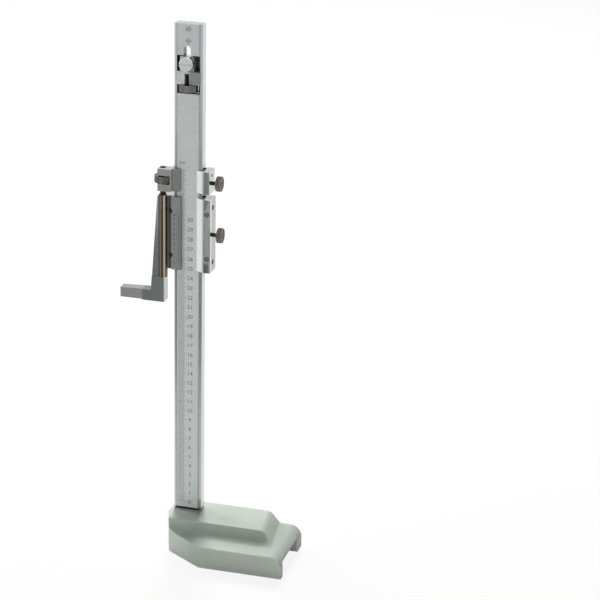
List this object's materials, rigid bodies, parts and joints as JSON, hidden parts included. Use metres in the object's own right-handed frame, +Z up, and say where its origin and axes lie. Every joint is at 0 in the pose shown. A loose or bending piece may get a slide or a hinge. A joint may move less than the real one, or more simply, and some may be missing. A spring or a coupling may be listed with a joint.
{
  "type": "vernier height gauge",
  "caption": "Free-standing vernier height gauge: slab base, upright graduated column, and a sliding jaw with fine-feed carrier, clamp knobs and an adjustable main scale.",
  "frame": {"origin": "on the underside of the base, which rests on the surface plate, below the centre of the column", "axes": "+X right along the base's long direction, +Y towards the back, +Z up along the column; the graduated side faces -Y"},
  "size_m": [0.1833, 0.077, 0.535],
  "materials": {
    "base_paint": "fine hammered grey-green machine paint, semi-gloss",
    "ground_steel": "ground lengthwise",
    "satin_steel": "satin, non-glare",
    "vernier_steel": "satin, slate grey",
    "bright_steel": "bright ground",
    "body_steel": "ground, matt",
    "gib_steel": "spring strip, drawn",
    "jaw_steel": "hardened, blue-grey, ground faces",
    "polished_steel": "polished round bar",
    "browned_steel": "browned, knurled rim",
    "black_steel": "black oxide",
    "screw_steel": "turned and slotted"
  },
  "bodies": {
    "frame": {"base": "base_paint", "column": "ground_steel", "column_screws": "black_steel", "top_plate": "satin_steel", "top_plate_screws": "screw_steel", "scale_anchor": "satin_steel", "scale_lock_nut": "black_steel"},
    "scale_lock": {"scale_lock_screw": "bright_steel"},
    "scale_nut": {"scale_adjust_nut": "browned_steel"},
    "scale": {"main_scale": "satin_steel", "scale_lug": "body_steel", "scale_rivets": "satin_steel", "scale_stud": "black_steel"},
    "carrier": {"carrier_body": "body_steel", "carrier_gib": "gib_steel", "carrier_gib_screw": "black_steel"},
    "carrier_clamp": {"carrier_clamp_knob": "browned_steel", "carrier_clamp_stem": "black_steel"},
    "feed_wheel": {"feed_nut": "browned_steel"},
    "slider": {"slider_body": "body_steel", "vernier_plate": "vernier_steel", "vernier_screws": "screw_steel", "guide_plate": "bright_steel", "guide_plate_screws": "screw_steel", "slider_gib": "gib_steel", "slider_gib_screws": "black_steel", "jaw": "jaw_steel", "jaw_screws": "black_steel", "feed_rod": "polished_steel", "feed_screw": "black_steel", "feed_screw_pin": "screw_steel"},
    "slider_clamp": {"slider_clamp_knob": "browned_steel", "slider_clamp_stem": "black_steel"}
  },
  "joints": [
    {"name": "carrier_slide", "type": "slide", "parent": "frame", "child": "carrier", "axis": [0, 0, 1], "range_m": [-0.25, 0.04]},
    {"name": "fine_feed", "type": "slide", "parent": "carrier", "child": "slider", "axis": [0, 0, 1], "range_m": [-0.006, 0.004]},
    {"name": "feed_nut_turn", "type": "hinge", "parent": "carrier", "child": "feed_wheel", "pos_m": [-0.0254, -0.0055, 0.38185], "axis": [0, 0, 1], "range_deg": [-1442, 2162]},
    {"name": "carrier_clamp_turn", "type": "hinge", "parent": "carrier", "child": "carrier_clamp", "pos_m": [0.0297, -0.0005, 0.38], "axis": [1, 0, 0], "range_deg": [-45, 720]},
    {"name": "slider_clamp_turn", "type": "hinge", "parent": "slider", "child": "slider_clamp", "pos_m": [0.0309, -0.0005, 0.328], "axis": [1, 0, 0], "range_deg": [-45, 720]},
    {"name": "scale_adjust", "type": "slide", "parent": "frame", "child": "scale", "axis": [0, 0, 1], "range_m": [-0.0015, 0.0015]},
    {"name": "scale_nut_turn", "type": "hinge", "parent": "frame", "child": "scale_nut", "pos_m": [-0.0015, -0.00025, 0.47265], "axis": [0, 0, 1], "range_deg": [-774, 774]},
    {"name": "scale_lock_turn", "type": "hinge", "parent": "frame", "child": "scale_lock", "pos_m": [-0.0015, -0.007, 0.4963], "axis": [0, 1, 0], "range_deg": [-720, 45]}
  ],
  "couplings": [
    {"joint": "feed_nut_turn", "follows": "fine_feed", "rad_per_m": -6283.2},
    {"joint": "scale_nut_turn", "follows": "scale_adjust", "rad_per_m": -8976}
  ]
}
